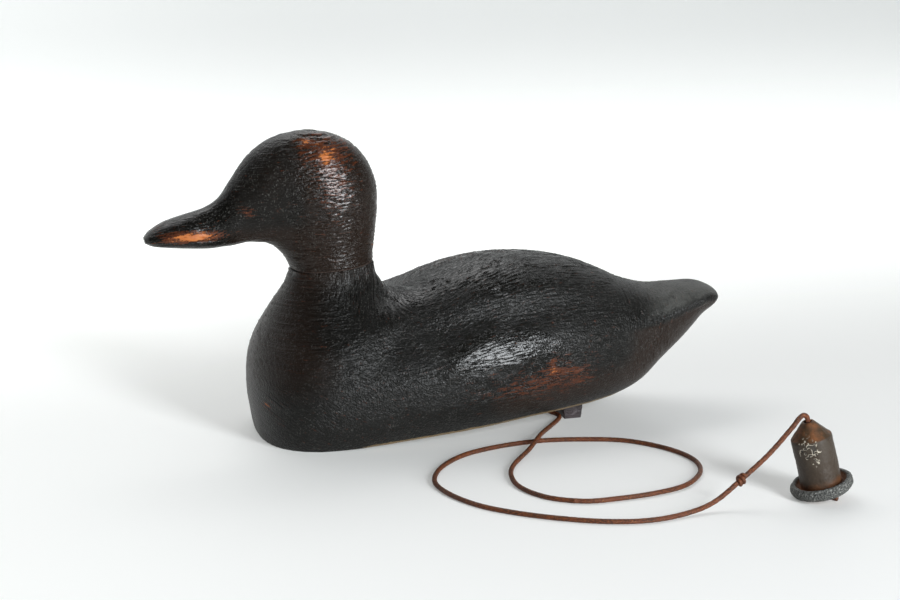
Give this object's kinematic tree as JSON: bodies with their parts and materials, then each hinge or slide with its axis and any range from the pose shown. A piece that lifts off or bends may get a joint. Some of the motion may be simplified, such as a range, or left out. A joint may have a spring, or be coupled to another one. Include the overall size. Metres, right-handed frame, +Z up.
{
  "type": "floating duck decoy",
  "caption": "Carved hollow wooden duck decoy with a flat bottom board, cast ballast, a tied anchor line and a mushroom anchor weight, for floating and anchoring on open water.",
  "frame": {"origin": "under the middle of the decoy's length and width, on the surface that the decoy lies on; the line and its weight are left out of that middle", "axes": "+X from the bill towards the tail, +Y across the decoy away from the side where the line lies, +Z up"},
  "size_m": [0.4088, 0.3137, 0.2084],
  "materials": {
    "painted_wood": "black satin paint over tooled wood, worn to brown and orange wood on edges and high spots",
    "board_wood": "black paint, thin and worn along the edges",
    "bare_wood": "bare turned hardwood",
    "bedding": "dried tan sealing compound",
    "filler": "dark brown wood filler under worn paint",
    "rusty_steel": "rusted steel wire",
    "ballast_lead": "dull dark cast lead",
    "line_lace": "waxed red-brown lace, mottled",
    "weight_iron": "rough cast iron, brown-grey with rust"
  },
  "bodies": {
    "decoy": {"body": "painted_wood", "bottom_board": "board_wood", "board_bedding": "bedding", "board_nails": "rusty_steel", "head": "painted_wood", "neck_filler": "filler", "neck_dowel": "bare_wood", "neck_nails": "rusty_steel", "ballast_bar": "ballast_lead", "ballast_nails": "rusty_steel", "line_staple": "rusty_steel", "tie_loop": "line_lace", "tie_knot": "line_lace", "anchor_line": "line_lace", "line_knot": "line_lace", "stopper_knot": "line_lace"},
    "weight": {"anchor_weight": "weight_iron"}
  },
  "joints": [
    {"name": "anchor_weight_spin", "type": "hinge", "parent": "decoy", "child": "weight", "pos_m": [0.1833, -0.225, 0.00362], "axis": [-0.2449, 0.0521, 0.9681], "continuous": true}
  ]
}
